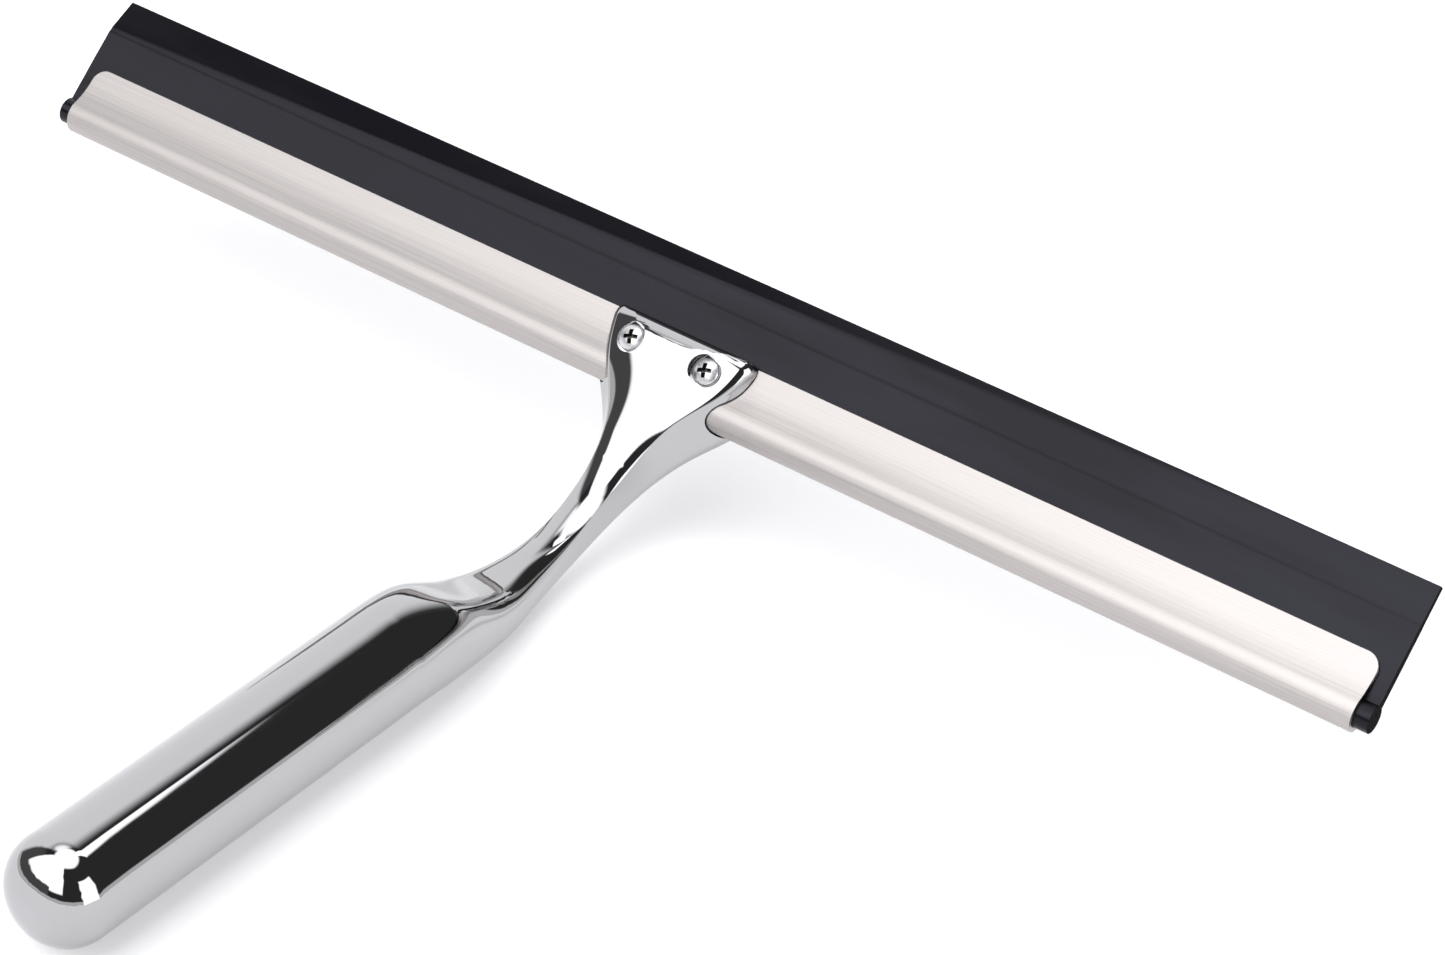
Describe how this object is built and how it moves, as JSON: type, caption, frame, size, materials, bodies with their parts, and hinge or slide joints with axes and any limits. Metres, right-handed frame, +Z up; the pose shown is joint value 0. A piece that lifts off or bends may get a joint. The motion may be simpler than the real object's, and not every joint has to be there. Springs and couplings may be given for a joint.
{
  "type": "window squeegee",
  "caption": "Hand squeegee for windows: a chromed bar handle with a slim curved neck and a fan-shaped head that clamps a steel channel with a straight rubber wiping blade.",
  "frame": {"origin": "middle of the bounding box's underside, level with the back of the grip", "axes": "+X along the wiping edge, to the right seen from the handle's end; +Y from the grip's end towards the blade; +Z up, out of the front of the grip"},
  "size_m": [0.305, 0.1948, 0.0459],
  "materials": {
    "handle": "mirror chrome plating on a zinc casting",
    "channel": "stainless sheet, brushed along its length",
    "blade": "smooth black rubber with a soft gloss",
    "screws": "bright plated steel"
  },
  "bodies": {
    "squeegee": {"handle": "handle", "channel": "channel", "blade": "blade"},
    "screw_left": {"screw_left": "screws"},
    "screw_right": {"screw_right": "screws"}
  },
  "joints": [
    {"name": "screw_left_out", "type": "slide", "parent": "squeegee", "child": "screw_left", "axis": [0, -0.7071, 0.7071], "range_m": [0, 0.012]},
    {"name": "screw_right_out", "type": "slide", "parent": "squeegee", "child": "screw_right", "axis": [0, -0.7071, 0.7071], "range_m": [0, 0.012]}
  ]
}
